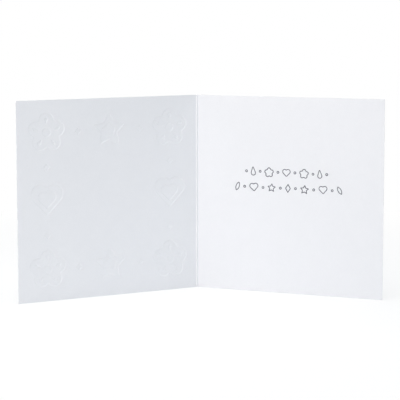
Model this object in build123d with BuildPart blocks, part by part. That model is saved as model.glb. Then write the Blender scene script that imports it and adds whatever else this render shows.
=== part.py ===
from build123d import *
from math import cos, radians, sqrt, tan
import os

# A square greeting card, folded once down the middle and standing open on its bottom edges.
# It is one sheet of white board. The front cover has a blind embossed border of flowers,
# hearts, stars and diamonds, raised on the outside and sunk on the inside.
# Millimetres, +Z up. The origin is the centre of the footprint, on the surface the card stands
# on. The fold is at the back (+Y) and the card opens towards -Y, so from the open side the
# front cover is on the left (-X).

# The sheet
PANEL_WIDTH = 150.0
PANEL_HEIGHT = 150.0
BOARD_THICKNESS = 0.40

# The fold: its rounded back, and the bead that the crease leaves along the inside
OPENING_ANGLE = 129.0
FOLD_RADIUS = 1.6
BEAD_WIDTH = 1.7
BEAD_FLANK_ANGLE = 34.0
BEAD_CREST_RADIUS = 0.35
BEAD_ROOT_RADIUS = 0.2

# The embossing: every step rises by the same amount, with flanks at 45 degrees
STEP_RISE = 0.28
CORNER_RADIUS = 1.0

# The motifs
PETAL_COUNT = 5
PETAL_RADIUS = 6.2
PETAL_REACH = 8.8
FLOWER_EYE_RADIUS = 3.6
PETAL_MARK_LENGTH = 6.4
PETAL_MARK_WIDTH = 3.6
HEART_SIDE = 15.3
INNER_HEART_SIDE = 8.8
STAR_POINTS = 5
STAR_RADIUS = 14.0
STAR_WAIST_RADIUS = 7.2
STAR_CORE_RADIUS = 6.0
DIAMOND_SIDE = 4.2

# The border: the distance from the cover's edges to the centres of the motifs along them
BORDER_INSET = 24.0


def petals():
    with PolarLocations(PETAL_REACH, PETAL_COUNT, start_angle=90):
        Circle(PETAL_RADIUS)
    Circle(PETAL_REACH)
    fillet(vertices(), radius=CORNER_RADIUS)


def petal_marks():
    """A kite on each petal, with its long end towards the eye."""
    half_length = PETAL_MARK_LENGTH / 2
    half_width = PETAL_MARK_WIDTH / 2
    shoulder = half_length / 3
    with PolarLocations(PETAL_REACH, PETAL_COUNT, start_angle=90):
        Polygon(
            (-half_length, 0), (shoulder, -half_width), (half_length, 0), (shoulder, half_width), align=None
        )


def heart_outline(side):
    """A square on its corner, with a round lobe on each of its upper sides."""
    lobe_offset = side / sqrt(8)
    Rectangle(side, side, rotation=45)
    with Locations((-lobe_offset, lobe_offset), (lobe_offset, lobe_offset)):
        Circle(side / 2)
    fillet(vertices(), radius=CORNER_RADIUS)


def star_outline():
    spacing = 360 / STAR_POINTS
    corners = []
    for point in range(STAR_POINTS):
        corners.append(Vector(0, STAR_RADIUS).rotate(Axis.Z, point * spacing))
        corners.append(Vector(0, STAR_WAIST_RADIUS).rotate(Axis.Z, (point + 0.5) * spacing))
    Polygon(*corners, align=None)
    fillet(vertices().sort_by_distance((0, 0, 0))[STAR_POINTS:], radius=CORNER_RADIUS)


def star_core():
    RegularPolygon(STAR_CORE_RADIUS, STAR_POINTS, rotation=90)


def diamond_outline():
    Rectangle(DIAMOND_SIDE, DIAMOND_SIDE, rotation=45)


def step(level, inset, outline, *sizes):
    """One step of the embossing. It rises from its level, and reaches as far below it."""
    with BuildPart() as risen:
        with BuildSketch(Plane.XY.offset((level - 1) * STEP_RISE)):
            outline(*sizes)
            offset(amount=-inset, kind=Kind.INTERSECTION)
        extrude(amount=2 * STEP_RISE)
        chamfer(risen.edges().group_by(Axis.Z)[-1], length=STEP_RISE)
    return risen.part


def flower(inset):
    return [
        step(0, inset, petals),
        step(1, inset, petal_marks),
        step(1, inset, Circle, FLOWER_EYE_RADIUS),
    ]


def heart(inset):
    return [
        step(0, inset, heart_outline, HEART_SIDE),
        step(1, inset, heart_outline, INNER_HEART_SIDE),
    ]


def star(inset):
    return [step(0, inset, star_outline), step(1, inset, star_core)]


def diamond(inset):
    return [step(0, inset, diamond_outline)]


# The section of the sheet, seen from above. Each panel leans back from the X axis by half of
# what the fold turns. The outer apex is where the panels' outer faces would meet, were the fold
# sharp, and the footprint runs from the rounded back of the fold to the free edges.
lean = (180 - OPENING_ANGLE) / 2
along_panel = Vector(1, 0).rotate(Axis.Z, -lean)
into_panel = Vector(0, -1).rotate(Axis.Z, -lean)
fold_rounding = FOLD_RADIUS * (1 / cos(radians(lean)) - 1)
footprint_depth = -PANEL_WIDTH * along_panel.Y - BOARD_THICKNESS * into_panel.Y - fold_rounding
outer_apex = Vector(0, footprint_depth / 2 + fold_rounding)
inner_apex = outer_apex - Vector(0, BOARD_THICKNESS / cos(radians(lean)))
outer_corner = outer_apex + along_panel * PANEL_WIDTH
inner_corner = outer_corner + into_panel * BOARD_THICKNESS
bead_root = inner_apex + along_panel * (BEAD_WIDTH / 2)
bead_peak = Vector(0, bead_root.Y - bead_root.X * tan(radians(BEAD_FLANK_ANGLE)))

with BuildPart() as card:
    with BuildSketch() as section:
        with BuildLine():
            Polyline(outer_corner, inner_corner, bead_root, bead_peak)
            mirror(about=Plane.YZ)
            FilletPolyline(
                outer_corner, outer_apex, Vector(-outer_corner.X, outer_corner.Y), radius=FOLD_RADIUS
            )
        make_face()
        fillet(section.vertices().sort_by_distance(bead_peak)[1:3], radius=BEAD_ROOT_RADIUS)
        fillet(section.vertices().sort_by_distance(bead_peak)[0], radius=BEAD_CREST_RADIUS)
    extrude(amount=PANEL_HEIGHT)

    # The border on the front cover, seen from the outside: x runs from the fold to the free
    # edge. The inside of each motif is a little smaller, so that the board keeps its thickness
    # round the flanks.
    cover_centre = outer_apex - Vector(along_panel.X, -along_panel.Y) * (PANEL_WIDTH / 2)
    cover_outside = Plane(
        origin=cover_centre + Vector(0, 0, PANEL_HEIGHT / 2),
        x_dir=Vector(-along_panel.X, along_panel.Y),
        z_dir=Vector(into_panel.X, -into_panel.Y),
    )
    cover_inside = cover_outside.offset(-BOARD_THICKNESS)
    inside_inset = BOARD_THICKNESS * tan(radians(45) / 2)
    reach_x = PANEL_WIDTH / 2 - BORDER_INSET
    reach_y = PANEL_HEIGHT / 2 - BORDER_INSET
    border = [
        (flower, [(x, y) for x in (-reach_x, reach_x) for y in (-reach_y, reach_y)]),
        (heart, [(x, 0) for x in (-reach_x, reach_x)]),
        (star, [(0, y) for y in (-reach_y, reach_y)]),
        (diamond, [(x, y) for x in (-reach_x / 2, reach_x / 2) for y in (-reach_y, reach_y)]),
        (diamond, [(x, y) for x in (-reach_x, reach_x) for y in (-reach_y / 2, reach_y / 2)]),
    ]
    for motif, places in border:
        with Locations(cover_outside):
            with Locations(*places):
                add(motif(inset=0))
        with Locations(cover_inside):
            with Locations(*places):
                add(motif(inset=inside_inset), mode=Mode.SUBTRACT)

card.part.label = "card"
os.makedirs("parts", exist_ok=True)
export_step(card.part, "parts/card.step")
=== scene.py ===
import bmesh
import bpy
from functools import partial
from math import asin, atan2, ceil, cos, degrees, radians, sin, sqrt, tan
from random import Random
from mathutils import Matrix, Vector
from mathutils.geometry import delaunay_2d_cdt


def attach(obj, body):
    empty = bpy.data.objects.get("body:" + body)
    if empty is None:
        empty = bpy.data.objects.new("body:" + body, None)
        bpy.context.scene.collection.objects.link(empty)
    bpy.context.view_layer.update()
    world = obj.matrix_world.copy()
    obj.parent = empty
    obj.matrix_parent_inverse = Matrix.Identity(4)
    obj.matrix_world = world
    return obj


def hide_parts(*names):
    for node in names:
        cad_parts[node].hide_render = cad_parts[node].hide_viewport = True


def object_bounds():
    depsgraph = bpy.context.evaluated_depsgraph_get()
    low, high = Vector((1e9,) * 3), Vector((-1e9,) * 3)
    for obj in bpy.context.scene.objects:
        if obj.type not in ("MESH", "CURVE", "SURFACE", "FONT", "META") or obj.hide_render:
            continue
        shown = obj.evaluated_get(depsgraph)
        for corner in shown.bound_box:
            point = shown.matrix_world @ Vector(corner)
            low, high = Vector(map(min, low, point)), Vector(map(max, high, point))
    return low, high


# A square greeting card, folded once and standing open. The sheet is modelled again here over
# its solid, with soft shoulders on the embossing, and two rows of small line ornaments are
# printed on the inside of the back panel. Metres, in the frame of the solid: +Z up, the fold at
# the back (+Y), and the front cover on the left (-X).

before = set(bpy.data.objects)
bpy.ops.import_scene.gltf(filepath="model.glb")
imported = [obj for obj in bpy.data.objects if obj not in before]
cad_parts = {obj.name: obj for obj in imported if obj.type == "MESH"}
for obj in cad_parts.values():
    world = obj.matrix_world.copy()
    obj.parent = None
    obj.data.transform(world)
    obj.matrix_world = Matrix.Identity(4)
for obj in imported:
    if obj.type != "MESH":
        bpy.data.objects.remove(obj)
cad_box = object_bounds()

MM = 0.001

# The sheet, as it is in the solid
PANEL_WIDTH = 150 * MM
PANEL_HEIGHT = 150 * MM
BOARD_THICKNESS = 0.40 * MM
OPENING_ANGLE = 129
FOLD_RADIUS = 1.6 * MM
BEAD_WIDTH = 1.7 * MM
BEAD_FLANK_ANGLE = 34
BEAD_CREST_RADIUS = 0.35 * MM
BEAD_ROOT_RADIUS = 0.2 * MM

# The embossing, as it is in the solid. A flank at 45 degrees is as wide as it is high
STEP_RISE = 0.28 * MM
FLANK_ANGLE = 45
CORNER_RADIUS = 1.0 * MM
PETAL_COUNT = 5
PETAL_RADIUS = 6.2 * MM
PETAL_REACH = 8.8 * MM
FLOWER_EYE_RADIUS = 3.6 * MM
PETAL_MARK_LENGTH = 6.4 * MM
PETAL_MARK_WIDTH = 3.6 * MM
HEART_SIDE = 15.3 * MM
INNER_HEART_SIDE = 8.8 * MM
STAR_POINTS = 5
STAR_RADIUS = 14.0 * MM
STAR_WAIST_RADIUS = 7.2 * MM
STAR_CORE_RADIUS = 6.0 * MM
DIAMOND_SIDE = 4.2 * MM
BORDER_INSET = 24.0 * MM

# What pressing and cutting do to real board: rounded corners, shoulders that run out softly,
# and cut edges that are not quite sharp
PRESSED_CORNER_RADIUS = 0.4 * MM
SHOULDER = 0.14 * MM
SHARPEST_RADIUS = 0.05 * MM
CUT_EDGE_ROUNDING = 0.05 * MM

# The mesh: degrees along an arc, the spacing of the points on the flat panels and how clear of
# the motifs they keep, how far the fold's own section reaches on each side, the flat collar at
# each end of a flank, and how sharp an edge has to be to be rounded as a cut one
ARC_STEP = 10
ARC_LEAST_STEPS = 3
GRID_SPACING = 5 * MM
GRID_CLEARANCE = GRID_SPACING / 3
FOLD_ZONE = 1.4 * MM
COLLAR = 0.25 * MM
CUT_EDGE_ANGLE = 65
FLANK_BANDS = 6
BEAD_ROOT_STEPS = 4
BEAD_CREST_STEPS = 6
CUT_EDGE_BANDS = 2
CUT_EDGE_MATERIAL = 1
LARGE_FACE_WEIGHT = 100
TRIANGLES_INSIDE = 1
MERGE_DISTANCE = 0.001 * MM
REPEAT_DISTANCE = MERGE_DISTANCE / 10
TRIANGULATION_TOLERANCE = MERGE_DISTANCE / 100

# The printed rows: their line, the heights of their middles, and where they start and end,
# measured from the fold
INK_LINE = 0.60 * MM
INK_THICKNESS = 0.015 * MM
UPPER_ROW_HEIGHT = 92.6 * MM
LOWER_ROW_HEIGHT = 80.7 * MM
UPPER_ROW_SPAN = (40.2 * MM, 106.7 * MM)
LOWER_ROW_SPAN = (32.2 * MM, 117.8 * MM)

# The ornaments in the rows, and how much the hand that drew them strays: a tilt in degrees, a
# share of the size, and a lift
PRINTED_HEART_SIDE = 4.1 * MM
PRINTED_STAR_RADIUS = 3.8 * MM
PRINTED_STAR_WAIST_RADIUS = 1.9 * MM
PRINTED_DIAMOND_WIDTH = 4.4 * MM
PRINTED_DIAMOND_HEIGHT = 7.0 * MM
PRINTED_PETAL_RADIUS = 1.5 * MM
PRINTED_PETAL_REACH = 2.2 * MM
PRINTED_RING_RADIUS = 1.05 * MM
LEAF_LENGTH = 7.4 * MM
LEAF_WIDTH = 3.2 * MM
LEAF_TILT = 65
DROPLET_RADIUS = 2.0 * MM
DROPLET_HEIGHT = 4.0 * MM
HAND_SEED = 5
HAND_TILT = 5
HAND_SIZE = 0.05
HAND_LIFT = 0.25 * MM

# Colours, in linear light
BOARD_COLOUR = (0.901, 0.912, 0.938)
BOARD_SHADE = (0.887, 0.899, 0.926)
FIBRE_SHADE = (0.853, 0.865, 0.891)
CORE_COLOUR = (0.905, 0.905, 0.915)
INK_COLOUR = (0.080, 0.084, 0.115)
FLOOR_COLOUR = (0.95, 0.95, 0.95)
FLOOR_SHADE = (0.93575, 0.93575, 0.93575)
WHITE = (1, 1, 1)

# The finish: the noise that makes each kind of mark, and the relief that it gives the surface.
# Noise mostly lies between its low and its high
NOISE_LOW = 0.3
NOISE_HIGH = 0.7
CLOUDS = {"size": 9 * MM, "detail": 4}
FIBRES = {"size": 0.7 * MM, "stretch": (1, 1, 2.2), "detail": 5, "distortion": 1.2}
TOOTH = {"size": 0.2 * MM, "detail": 2}
CRACKS = {"size": 0.35 * MM, "stretch": (1, 1, 5), "detail": 4}
LAYERS = {"size": 0.06 * MM, "stretch": (14, 1, 14), "detail": 4}
FLUFF = {"size": 0.05 * MM, "detail": 3}
INK_FIBRES = FIBRES | {"size": 0.3 * MM}
SPECKLE = {"size": 4 * MM, "detail": 2}

CLOUD_RELIEF = {"depth": 0.05 * MM, "strength": 0.25}
FIBRE_RELIEF = {"depth": 0.035 * MM, "strength": 0.8}
TOOTH_RELIEF = {"depth": 0.014 * MM, "strength": 0.6}
CRACK_RELIEF = {"depth": 0.06 * MM, "strength": 0.9}
LAYER_RELIEF = {"depth": 0.03 * MM, "strength": 0.5}
FLUFF_RELIEF = {"depth": 0.015 * MM, "strength": 0.5}
INK_RELIEF = {"depth": 0.01 * MM, "strength": 0.3}

# How strongly fibres tint the board and show through the ink, the part of their noise that
# shows through it, and where the crease's cracks fade out, measured from the fold
FIBRE_TINT = 0.6
INK_GAP_TINT = 0.12
INK_GAP_RANGE = (0.45, 0.75)
CREASE_REACH = (0.5 * MM, 1.5 * MM)

# Gloss. A pair is the roughness of the fibres' hollows and of their heights
BOARD_ROUGHNESS = (0.56, 0.68)
INK_ROUGHNESS = (0.5, 0.62)
CUT_EDGE_ROUGHNESS = 0.8
SMOOTH_SPECULAR = 0.35
CUT_EDGE_SPECULAR = 0.25

# The camera, as in the photograph: its angles in degrees, its lens and sensor in millimetres
CAMERA_PLACE = (-0.0656, -1.2522, 0.2309)
CAMERA_YAW = 3.036
CAMERA_PITCH = 7.206
CAMERA_ROLL = 0.054
CAMERA_LENS = 150.4
CAMERA_SENSOR = 36

# The studio. The camera sees the floor near the card as a mix of its lit colour and so much
# plain white, so that a light shadow shows. Between the two reaches it turns to all white
FLOOR_SIZE = 8
FLOOR_CELLS = 8
SHADOW_LIFT = 0.65
SHADOW_REACH = 0.15
WHITE_REACH = 0.5
SKY_STRENGTH = 0.362
COOL_LIGHT = (0.922, 0.963, 1.0)
WARM_LIGHT = (1.0, 0.90, 0.84)

# Each lamp is (its name, its place, its width, its power, its colour, its spread in degrees)
LAMPS = [
    ("overhead", (0, -0.2, 1.5), 1.8, 17.3, COOL_LIGHT, 180),
    ("key", (-0.8, -0.6, 0.5), 0.6, 3.6, WARM_LIGHT, 180),
    ("back", (-1.15, 0.45, 0.55), 0.5, 0.16, WARM_LIGHT, 30),
]

# How far each panel leans back from the X axis, and the point where the panels' outer faces
# would meet if the fold were sharp
lean = radians(180 - OPENING_ANGLE) / 2
fold_rounding = FOLD_RADIUS * (1 / cos(lean) - 1)
apex = Vector((0, cad_box[1][1] + fold_rounding, 0))


# Places on the sheet

def on_panel(side, across, up, depth):
    """A point of a panel: across from the fold, up, and deep below the panel's outer face.
    The front cover's side is -1, and the back panel's is 1."""
    along = Vector((side * cos(lean), -sin(lean), 0))
    inward = Vector((-side * sin(lean), -cos(lean), 0))
    return apex + across * along + depth * inward + Vector((0, 0, up))


def arc(x, y, radius, start, end, steps=None):
    """Points along an arc, given in degrees. One that runs backwards is hollow."""
    steps = steps or max(ARC_LEAST_STEPS, ceil(abs(end - start) / ARC_STEP))
    angles = [radians(start + (end - start) * step / steps) for step in range(steps + 1)]
    return [Vector((x + radius * cos(angle), y + radius * sin(angle))) for angle in angles]


def turned(point, angle):
    """A flat point, turned about the origin by an angle in degrees."""
    x, y = point
    angle = radians(angle)
    return Vector((x * cos(angle) - y * sin(angle), x * sin(angle) + y * cos(angle)))


def rounded_corner(before, corner, after, radius, inset=0, steps=None):
    """The arc that rounds a corner between straight runs, which an inset moves to their left."""
    back = (before - corner).normalized()
    ahead = (after - corner).normalized()
    heading = degrees(atan2(-back.y, -back.x))
    turn = (degrees(atan2(ahead.y, ahead.x)) - heading + 180) % 360 - 180
    hollow = turn < 0
    rounding = radius + inset if hollow else max(radius - inset, SHARPEST_RADIUS)
    from_corner = rounding - inset if hollow else rounding + inset
    centre = corner + (back + ahead).normalized() * from_corner / cos(radians(turn) / 2)
    start = heading + (90 if hollow else -90)
    return arc(*centre, rounding, start, start + turn, steps)


def fold_section():
    """The outer and inner points of the section round the fold, from left to right. There are
    as many outside as inside, so that the cut edges can join them."""
    left, right = (on_panel(side, FOLD_ZONE, 0, 0).xy for side in (-1, 1))
    outer_steps = BEAD_CREST_STEPS + 2 * (BEAD_ROOT_STEPS + 1)
    outer = [left, *rounded_corner(left, apex.xy, right, FOLD_RADIUS, steps=outer_steps), right]

    left, right = (on_panel(side, FOLD_ZONE, 0, BOARD_THICKNESS).xy for side in (-1, 1))
    inner_apex = apex.xy - Vector((0, BOARD_THICKNESS / cos(lean)))
    right_root = inner_apex + Vector((cos(lean), -sin(lean))) * BEAD_WIDTH / 2
    left_root = Vector((-right_root.x, right_root.y))
    peak = Vector((0, right_root.y - right_root.x * tan(radians(BEAD_FLANK_ANGLE))))
    inner = [
        left,
        *rounded_corner(left, left_root, peak, BEAD_ROOT_RADIUS, steps=BEAD_ROOT_STEPS),
        *rounded_corner(left_root, peak, right_root, BEAD_CREST_RADIUS, steps=BEAD_CREST_STEPS),
        *rounded_corner(peak, right_root, right, BEAD_ROOT_RADIUS, steps=BEAD_ROOT_STEPS),
        right,
    ]
    return outer, inner


# Outlines. Each returns the points of a closed line, moved inwards by an inset

def closed(points):
    """The points without those that repeat the one before."""
    return [
        point for before, point in zip(points[-1:] + points[:-1], points)
        if (point - before).length > REPEAT_DISTANCE
    ]


def circle(radius, inset):
    return closed(arc(0, 0, radius - inset, 0, 360))


def polygon(corners, radius, inset):
    """Straight sides with rounded corners. The corners are given anticlockwise."""
    points = []
    befores, afters = corners[-1:] + corners[:-1], corners[1:] + corners[:1]
    for before, corner, after in zip(befores, corners, afters):
        points += rounded_corner(before, corner, after, radius, inset)
    return closed(points)


def petals(inset, petal_radius=PETAL_RADIUS, reach=PETAL_REACH, corner=CORNER_RADIUS):
    """Round petals in a ring, with rounded notches between them."""
    spacing = 360 / PETAL_COUNT
    half = radians(spacing / 2)
    notch_reach = reach * cos(half) + sqrt((petal_radius + corner) ** 2 - (reach * sin(half)) ** 2)
    swing = degrees(atan2(notch_reach * sin(half), notch_reach * cos(half) - reach))
    points = []
    for petal in range(PETAL_COUNT):
        facing = 90 + petal * spacing
        centre = turned((reach, 0), facing)
        notch = turned((notch_reach, 0), facing + spacing / 2)
        points += arc(*centre, petal_radius - inset, facing - swing, facing + swing)
        points += arc(*notch, corner + inset, facing + swing - 180, facing + spacing - swing - 180)
    return closed(points)


def heart(side, corner, inset):
    """A square on its corner, with a round lobe on each of its upper sides."""
    lobe = side / sqrt(8)
    tip = corner * sqrt(2) - side / sqrt(2)
    notch = lobe + sqrt((side / 2 + corner) ** 2 - lobe**2)
    meet = degrees(atan2(notch - lobe, -lobe))
    points = arc(0, tip, corner - inset, -135, -45)
    points += arc(lobe, lobe, side / 2 - inset, -45, meet)
    points += arc(0, notch, corner + inset, meet - 180, -meet)
    points += arc(-lobe, lobe, side / 2 - inset, 180 - meet, 225)
    return closed(points)


def leaf(length, width, corner, inset):
    """Two shallow arcs that meet in rounded tips."""
    belly_radius = (length**2 + width**2) / (4 * width)
    drop = belly_radius - width / 2
    tip = sqrt((belly_radius - corner) ** 2 - drop**2)
    swing = degrees(asin(tip / (belly_radius - corner)))
    points = arc(0, -drop, belly_radius - inset, 90 - swing, 90 + swing)
    points += arc(-tip, 0, corner - inset, 90 + swing, 270 - swing)
    points += arc(0, drop, belly_radius - inset, 270 - swing, 270 + swing)
    points += arc(tip, 0, corner - inset, 270 + swing, 450 - swing)
    return closed(points)


def droplet(radius, height, corner, inset):
    """A round drop that is drawn out to a tip above."""
    slope = degrees(asin((radius - corner) / height))
    points = arc(0, 0, radius - inset, 180 - slope, 360 + slope)
    points += arc(0, height, corner - inset, slope, 180 - slope)
    return closed(points)


# The corners of the outlines that have straight sides

def star_corners(radius, waist_radius):
    corners = []
    for point in range(STAR_POINTS):
        corners.append(turned((0, radius), 360 / STAR_POINTS * point))
        corners.append(turned((0, waist_radius), 360 / STAR_POINTS * (point + 0.5)))
    return corners


def ring_of_corners(radius, count):
    return [turned((0, radius), 360 / count * corner) for corner in range(count)]


def petal_mark_corners(petal):
    """A kite on a petal, with its long end towards the eye."""
    half_length = PETAL_MARK_LENGTH / 2
    half_width = PETAL_MARK_WIDTH / 2
    shoulder = half_length / 3
    kite = [(-half_length, 0), (shoulder, -half_width), (half_length, 0), (shoulder, half_width)]
    facing = 90 + petal * 360 / PETAL_COUNT
    return [turned((PETAL_REACH + x, y), facing) for x, y in kite]


# The embossed sheet

def cover_motifs():
    """Each motif of the border as (its place on the cover, its steps as (level, outline))."""
    pressed = PRESSED_CORNER_RADIUS
    flower = [(0, petals), (1, partial(circle, FLOWER_EYE_RADIUS))]
    for petal in range(PETAL_COUNT):
        flower.append((1, partial(polygon, petal_mark_corners(petal), pressed)))
    big_heart = [
        (0, partial(heart, HEART_SIDE, CORNER_RADIUS)),
        (1, partial(heart, INNER_HEART_SIDE, CORNER_RADIUS)),
    ]
    star = [
        (0, partial(polygon, star_corners(STAR_RADIUS, STAR_WAIST_RADIUS), CORNER_RADIUS)),
        (1, partial(polygon, ring_of_corners(STAR_CORE_RADIUS, STAR_POINTS), pressed)),
    ]
    diamond = [(0, partial(polygon, ring_of_corners(DIAMOND_SIDE / sqrt(2), 4), pressed))]

    reach_x = PANEL_WIDTH / 2 - BORDER_INSET
    reach_y = PANEL_HEIGHT / 2 - BORDER_INSET
    ends_x = (-reach_x, reach_x)
    ends_y = (-reach_y, reach_y)
    border = [(flower, x, y) for x in ends_x for y in ends_y]
    border += [(big_heart, x, 0) for x in ends_x]
    border += [(star, 0, y) for y in ends_y]
    border += [(diamond, x / 2, y) for x in ends_x for y in ends_y]
    border += [(diamond, x, y / 2) for x in ends_x for y in ends_y]
    centre = Vector((PANEL_WIDTH / 2, PANEL_HEIGHT / 2))
    return [(centre + Vector((x, y)), steps) for steps, x, y in border]


def flank(place, level, outline, inset):
    """The rings of one step from its foot to its top, each as (its points, its height). A flat
    collar at each end keeps the flank's shading off the flat board."""
    profile = [(-SHOULDER - COLLAR, 0)]
    for band in range(FLANK_BANDS + 1):
        share = band / FLANK_BANDS
        smooth_rise = share**2 * (3 - 2 * share)
        profile.append((share * (STEP_RISE + 2 * SHOULDER) - SHOULDER, smooth_rise))
    profile.append((STEP_RISE + SHOULDER + COLLAR, 1))
    return [
        ([place + point for point in outline(inset + across)], (level + rise) * STEP_RISE)
        for across, rise in profile
    ]


def stations(start, end):
    """Evenly spaced places from start to end."""
    count = round((end - start) / GRID_SPACING)
    return [start + (end - start) * step / count for step in range(count + 1)]


def bridge(mesh, rings, wrap=False):
    """Quads between closed rings of the same length, and from the last to the first if wrapped."""
    for lower, upper in zip(rings, rings[1:] + rings[:1] if wrap else rings[1:]):
        for start, (low, high) in enumerate(zip(lower, upper)):
            mesh.faces.new((lower[start - 1], low, high, upper[start - 1]))


def embossed_side(mesh, motifs, depth, inset):
    """One side of the front cover: quads up the flanks, and triangles over all that is flat."""
    places = []
    corners = []

    def raised(points, height):
        return [mesh.verts.new(on_panel(-1, *point, depth - height)) for point in points]

    def spread(points, height):
        """Adds points to the flat pattern, and returns their indices."""
        first = len(places)
        places.extend(points)
        corners.extend(raised(points, height))
        return list(range(first, len(places)))

    loops = []
    for place, steps in motifs:
        for level, outline in steps:
            foot, *between_rings, top = flank(place, level, outline, inset)
            loops += [spread(*foot), spread(*top)]
            foot_ring, top_ring = ([corners[i] for i in loop] for loop in loops[-2:])
            bridge(mesh, [foot_ring, *(raised(*ring) for ring in between_rings), top_ring])

    columns = stations(FOLD_ZONE, PANEL_WIDTH)
    rows = stations(0, PANEL_HEIGHT)
    rim = [Vector((x, rows[0])) for x in columns[:-1]]
    rim += [Vector((columns[-1], y)) for y in rows[:-1]]
    rim += [Vector((x, rows[-1])) for x in columns[:0:-1]]
    rim += [Vector((columns[0], y)) for y in rows[:0:-1]]
    rim_loop = spread(rim, 0)

    # The rest of the grid, clear of the motifs
    clear = []
    for place, steps in motifs:
        _, widest = steps[0]
        clear.append((place, max(point.length for point in widest(0)) + GRID_CLEARANCE))
    grid = [Vector((x, y)) for x in columns[1:-1] for y in rows[1:-1]]
    spread([p for p in grid if all((p - place).length > reach for place, reach in clear)], 0)

    # Loop 0 is the rim. After it, the odd loops are feet, and each one's top is the next
    loops = [rim_loop, *loops]
    feet = range(1, len(loops), 2)
    flat = delaunay_2d_cdt(places, [], loops, TRIANGLES_INSIDE, TRIANGULATION_TOLERANCE)
    _, _, triangles, sources, _, owners = flat
    for triangle, inside in zip(triangles, owners):
        on_flank = any(foot in inside and foot + 1 not in inside for foot in feet)
        if not on_flank:
            mesh.faces.new([corners[sources[i][0]] for i in triangle])


def cut_strip(mesh, outer, inner):
    """A strip of the cut edge, between lines of points on the outer and the inner face."""
    for corners in zip(outer, outer[1:], inner[1:], inner):
        mesh.faces.new(corners).material_index = CUT_EDGE_MATERIAL


def card_sheet():
    """The whole sheet: skins outside and inside, cut edges all round, and the embossed cover,
    where each motif is a little smaller inside, so that the board keeps its thickness."""
    mesh = bmesh.new()
    motifs = cover_motifs()
    embossed_side(mesh, motifs, 0, 0)
    inside_inset = BOARD_THICKNESS * tan(radians(FLANK_ANGLE) / 2)
    embossed_side(mesh, motifs, BOARD_THICKNESS, inside_inset)

    columns = stations(FOLD_ZONE, PANEL_WIDTH)
    rows = stations(0, PANEL_HEIGHT)
    sides = []
    for depth, fold in zip((0, BOARD_THICKNESS), fold_section()):
        cover = [on_panel(-1, across, 0, depth).xy for across in reversed(columns[1:])]
        back = [on_panel(1, across, 0, depth).xy for across in columns[1:]]
        section = [*cover, *fold, *back]
        sides.append([[mesh.verts.new((*point, row)) for row in rows] for point in section])
    cover_columns = len(columns) - 1
    for side in sides:
        for left, right in zip(side[cover_columns:], side[cover_columns + 1:]):
            for row in range(len(rows) - 1):
                mesh.faces.new((left[row], right[row], right[row + 1], left[row + 1]))
    for end in (0, -1):
        cut_strip(mesh, *([column[end] for column in side] for side in sides))
    for end in (0, -1):
        cut_strip(mesh, *(side[end] for side in sides))

    loose = [vert for vert in mesh.verts if not vert.link_faces]
    bmesh.ops.delete(mesh, geom=loose, context="VERTS")
    bmesh.ops.remove_doubles(mesh, verts=mesh.verts, dist=MERGE_DISTANCE)
    bmesh.ops.recalc_face_normals(mesh, faces=mesh.faces)
    sheet = new_piece("card_sheet", mesh, [board_material(), cut_edge_material()])

    rounding = sheet.modifiers.new("cut edge rounding", "BEVEL")
    rounding.limit_method = "ANGLE"
    rounding.angle_limit = radians(CUT_EDGE_ANGLE)
    rounding.width = CUT_EDGE_ROUNDING
    rounding.segments = CUT_EDGE_BANDS
    shading = sheet.modifiers.new("flat panels", "WEIGHTED_NORMAL")
    shading.weight = LARGE_FACE_WEIGHT


def new_piece(name, mesh, materials):
    """Turns a bmesh into a smooth object that stands in for the card's solid."""
    data = bpy.data.meshes.new(name)
    mesh.to_mesh(data)
    mesh.free()
    data.shade_smooth()
    for material in materials:
        data.materials.append(material)
    piece = bpy.data.objects.new(name, data)
    bpy.context.scene.collection.objects.link(piece)
    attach(piece, "root")
    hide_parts("card")
    return piece


# The printed rows

def ornaments():
    """The line ornaments by name: each is an outline at the size it is printed."""
    tip = INK_LINE + SHARPEST_RADIUS
    star = star_corners(PRINTED_STAR_RADIUS, PRINTED_STAR_WAIST_RADIUS)
    x, y = PRINTED_DIAMOND_WIDTH / 2, PRINTED_DIAMOND_HEIGHT / 2
    diamond = [Vector(corner) for corner in ((x, 0), (0, y), (-x, 0), (0, -y))]
    return {
        "heart": partial(heart, PRINTED_HEART_SIDE, tip),
        "star": partial(polygon, star, tip / 2),
        "diamond": partial(polygon, diamond, tip / 2),
        "leaf": partial(leaf, LEAF_LENGTH, LEAF_WIDTH, tip),
        "droplet": partial(droplet, DROPLET_RADIUS, DROPLET_HEIGHT, tip),
        "flower": partial(
            petals, petal_radius=PRINTED_PETAL_RADIUS, reach=PRINTED_PETAL_REACH, corner=tip
        ),
        "ring": partial(circle, PRINTED_RING_RADIUS),
    }


def printed_row(mesh, marks, middle, span, random):
    """A row of ornaments with even gaps on the back panel's inner face, between two distances
    from the fold. Each mark is (its name, its tilt in degrees)."""
    shapes = ornaments()
    drawn = []
    for name, tilt in marks:
        tilt += random.uniform(-HAND_TILT, HAND_TILT)
        size = random.uniform(1 - HAND_SIZE, 1 + HAND_SIZE)
        lift = random.uniform(-HAND_LIFT, HAND_LIFT)
        rim, hollow = (
            [turned(point * size, tilt) for point in shapes[name](inset=inset)]
            for inset in (0, INK_LINE)
        )
        left, right = (edge(x for x, y in rim) for edge in (min, max))
        bottom, top = (edge(y for x, y in rim) for edge in (min, max))
        drawn.append((rim, hollow, Vector((left, (bottom + top) / 2 - lift)), right - left))
    across, end = span
    gap = (end - across - sum(width for *_, width in drawn)) / (len(marks) - 1)
    for rim, hollow, corner, width in drawn:
        rings = []
        for points, height in ((rim, -1), (rim, 1), (hollow, 1), (hollow, -1)):
            depth = BOARD_THICKNESS + height * INK_THICKNESS
            moved = [point - corner + Vector((across, middle)) for point in points]
            rings.append([mesh.verts.new(on_panel(1, *point, depth)) for point in moved])
        bridge(mesh, rings, wrap=True)
        across += width + gap


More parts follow.
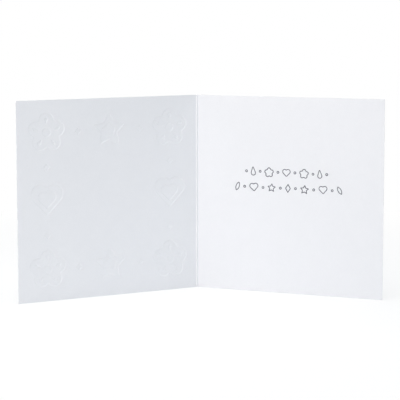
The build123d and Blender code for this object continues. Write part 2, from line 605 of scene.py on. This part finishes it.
def inside_print():
    """Both rows. Each is made of a left half, a middle mark and the left half mirrored."""
    mesh = bmesh.new()
    random = Random(HAND_SEED)
    ring = ("ring", 0)
    half_upper = [ring, ("droplet", 0), ring, ("flower", 0), ring]
    half_lower = [("leaf", LEAF_TILT), ring, ("heart", 0), ring, ("star", 0), ring]
    for half, middle_mark, middle, span in (
        (half_upper, ("heart", 0), UPPER_ROW_HEIGHT, UPPER_ROW_SPAN),
        (half_lower, ("diamond", 0), LOWER_ROW_HEIGHT, LOWER_ROW_SPAN),
    ):
        mirrored = [(name, (180 - tilt) % 180) for name, tilt in reversed(half)]
        printed_row(mesh, [*half, middle_mark, *mirrored], middle, span, random)
    bmesh.ops.recalc_face_normals(mesh, faces=mesh.faces)
    new_piece("inside_ornament", mesh, [ink_material()])


# Materials

def node(tree, kind, inputs, **settings):
    """A new node. Each input is a value, or a socket of another node to link from."""
    made = tree.nodes.new("ShaderNode" + kind)
    for name, value in settings.items():
        setattr(made, name, value)
    for name, value in inputs.items():
        if isinstance(value, bpy.types.NodeSocket):
            tree.links.new(value, made.inputs[name])
        else:
            made.inputs[name].default_value = value
    return made


def maths(tree, operation, *values):
    """The result of an operation on one or two numbers."""
    return node(tree, "Math", dict(enumerate(values)), operation=operation).outputs["Value"]


def new_material(name):
    """An empty material, its nodes and the object's own coordinates in metres."""
    material = bpy.data.materials.new(name)
    material.use_nodes = True
    tree = material.node_tree
    tree.nodes.clear()
    return material, tree, tree.nodes.new("ShaderNodeTexCoord").outputs["Object"]


def grain(tree, place, size, detail, stretch=(1, 1, 1), distortion=0):
    """Noise with spots of about the given size, stretched along the axes."""
    mapping = node(tree, "Mapping", {"Vector": place, "Scale": [1 / way for way in stretch]})
    inputs = {"Vector": mapping.outputs["Vector"], "Scale": 1 / size}
    inputs |= {"Detail": detail, "Distortion": distortion}
    return node(tree, "TexNoise", inputs).outputs["Fac"]


def between(tree, factor, low, high, start=NOISE_LOW, end=NOISE_HIGH):
    """A number from low to high, as the factor goes from start to end."""
    inputs = {"Value": factor, "From Min": start, "From Max": end, "To Min": low, "To Max": high}
    return node(tree, "MapRange", inputs).outputs["Result"]


def mix(tree, factor, first, second):
    """A colour between two others. The node's inputs 6 and 7 and its output 2 are colours."""
    blended = node(tree, "Mix", {"Factor": factor}, data_type="RGBA")
    for socket, colour in zip(blended.inputs[6:8], (first, second)):
        if isinstance(colour, bpy.types.NodeSocket):
            tree.links.new(colour, socket)
        else:
            socket.default_value = (*colour, 1)
    return blended.outputs[2]


def relief(tree, height, depth, strength, under=None):
    """A bump of the given depth, over another one if it is given."""
    inputs = {"Height": height, "Distance": depth, "Strength": strength}
    if under:
        inputs["Normal"] = under
    return node(tree, "Bump", inputs).outputs["Normal"]


def surface(tree, colour, roughness, normal, specular):
    inputs = {"Base Color": colour, "Roughness": roughness, "Normal": normal}
    shader = node(tree, "BsdfPrincipled", inputs | {"Specular IOR Level": specular})
    node(tree, "OutputMaterial", {"Surface": shader.outputs["BSDF"]})


def board_material():
    """Smooth white board: cloudy formation, short fibres, a fine tooth, and a worked crease."""
    material, tree, place = new_material("white_board")
    clouds = grain(tree, place, **CLOUDS)
    fibres = grain(tree, place, **FIBRES)
    tooth = grain(tree, place, **TOOTH)
    colour = mix(tree, between(tree, clouds, 0, 1), BOARD_COLOUR, BOARD_SHADE)
    colour = mix(tree, between(tree, fibres, 0, FIBRE_TINT), colour, FIBRE_SHADE)

    from_fold = maths(tree, "ABSOLUTE", node(tree, "SeparateXYZ", {"Vector": place}).outputs["X"])
    crease = between(tree, from_fold, 1, 0, *CREASE_REACH)
    cracks = maths(tree, "MULTIPLY", grain(tree, place, **CRACKS), crease)

    normal = relief(tree, clouds, **CLOUD_RELIEF)
    normal = relief(tree, fibres, **FIBRE_RELIEF, under=normal)
    normal = relief(tree, tooth, **TOOTH_RELIEF, under=normal)
    normal = relief(tree, cracks, **CRACK_RELIEF, under=normal)
    surface(tree, colour, between(tree, fibres, *BOARD_ROUGHNESS), normal, SMOOTH_SPECULAR)
    return material


def cut_edge_material():
    """The cut edge: the layers of the board show as fine streaks along it. The two panels are
    laid over each other and turned, so that Y runs through the board's thickness."""
    material, tree, place = new_material("board_cut_edge")
    x, y, z = node(tree, "SeparateXYZ", {"Vector": place}).outputs
    folded = node(tree, "CombineXYZ", {"X": maths(tree, "ABSOLUTE", x), "Y": y, "Z": z})
    inputs = {"Vector": folded.outputs["Vector"], "Angle": lean}
    in_sheet = node(tree, "VectorRotate", inputs, rotation_type="Z_AXIS").outputs["Vector"]
    layers = grain(tree, in_sheet, **LAYERS)
    fluff = grain(tree, place, **FLUFF)
    colour = mix(tree, between(tree, layers, 0, 1), CORE_COLOUR, BOARD_SHADE)
    normal = relief(tree, layers, **LAYER_RELIEF)
    normal = relief(tree, fluff, **FLUFF_RELIEF, under=normal)
    surface(tree, colour, CUT_EDGE_ROUGHNESS, normal, CUT_EDGE_SPECULAR)
    return material


def ink_material():
    """Matt grey ink, with the board's fibres showing a little through it."""
    material, tree, place = new_material("grey_ink")
    fibres = grain(tree, place, **INK_FIBRES)
    gaps = between(tree, fibres, 0, INK_GAP_TINT, *INK_GAP_RANGE)
    colour = mix(tree, gaps, INK_COLOUR, BOARD_SHADE)
    normal = relief(tree, fibres, **INK_RELIEF)
    surface(tree, colour, between(tree, fibres, *INK_ROUGHNESS), normal, SMOOTH_SPECULAR)
    return material


def floor_material():
    """A pale floor that takes shadows, and that the camera and reflections see close to white."""
    material, tree, place = new_material("pale_floor")
    speckle = grain(tree, place, **SPECKLE)
    colour = mix(tree, between(tree, speckle, 0, 1), FLOOR_COLOUR, FLOOR_SHADE)
    lit = node(tree, "BsdfDiffuse", {"Color": colour}).outputs["BSDF"]
    plain = node(tree, "Emission", {"Color": (*WHITE, 1), "Strength": 1}).outputs["Emission"]
    out = node(tree, "VectorMath", {0: place}, operation="LENGTH").outputs["Value"]
    white = between(tree, out, SHADOW_LIFT, 1, SHADOW_REACH, WHITE_REACH)
    lift = maths(tree, "MULTIPLY", seen_directly(tree), white)
    shader = tree.nodes.new("ShaderNodeMixShader")
    for socket, source in zip(shader.inputs, (lift, lit, plain)):
        tree.links.new(source, socket)
    node(tree, "OutputMaterial", {"Surface": shader.outputs["Shader"]})
    return material


def seen_directly(tree):
    """1 for a ray from the camera, and for what gloss and glass show."""
    path = tree.nodes.new("ShaderNodeLightPath").outputs
    shiny = maths(tree, "MAXIMUM", path["Is Glossy Ray"], path["Is Transmission Ray"])
    return maths(tree, "MAXIMUM", path["Is Camera Ray"], shiny)


# The studio

def floor():
    mesh = bmesh.new()
    bmesh.ops.create_grid(
        mesh, x_segments=FLOOR_CELLS, y_segments=FLOOR_CELLS, size=FLOOR_SIZE / 2
    )
    data = bpy.data.meshes.new("floor")
    mesh.to_mesh(data)
    mesh.free()
    data.materials.append(floor_material())
    ground = bpy.data.objects.new("floor", data)
    bpy.context.scene.collection.objects.link(ground)


def sky():
    """Even light from all round, which the camera sees as plain white."""
    world = bpy.data.worlds.new("studio")
    world.use_nodes = True
    tree = world.node_tree
    tree.nodes.clear()
    strength = between(tree, seen_directly(tree), SKY_STRENGTH, 1, 0, 1)
    colour = mix(tree, seen_directly(tree), COOL_LIGHT, WHITE)
    background = node(tree, "Background", {"Color": colour, "Strength": strength})
    node(tree, "OutputWorld", {"Surface": background.outputs["Background"]})
    bpy.context.scene.world = world


def lamp(name, place, size, power, colour, spread):
    """A round soft lamp that points at the middle of the card."""
    data = bpy.data.lights.new(name, "AREA")
    data.shape = "DISK"
    data.size = size
    data.energy = power
    data.color = colour
    data.spread = radians(spread)
    light = bpy.data.objects.new(name, data)
    light.location = place
    aim = Vector((0, 0, PANEL_HEIGHT / 2)) - light.location
    light.rotation_euler = aim.to_track_quat("-Z", "Y").to_euler()
    bpy.context.scene.collection.objects.link(light)


def camera():
    data = bpy.data.cameras.new("camera")
    data.lens = CAMERA_LENS
    data.sensor_width = CAMERA_SENSOR
    seen = bpy.data.objects.new("camera", data)
    seen.location = CAMERA_PLACE
    seen.rotation_euler = (
        radians(90 - CAMERA_PITCH), radians(CAMERA_ROLL), -radians(CAMERA_YAW)
    )
    bpy.context.scene.collection.objects.link(seen)
    bpy.context.scene.camera = seen


card_sheet()
inside_print()
floor()
sky()
for settings in LAMPS:
    lamp(*settings)
camera()
bpy.context.scene.view_settings.view_transform = "Standard"
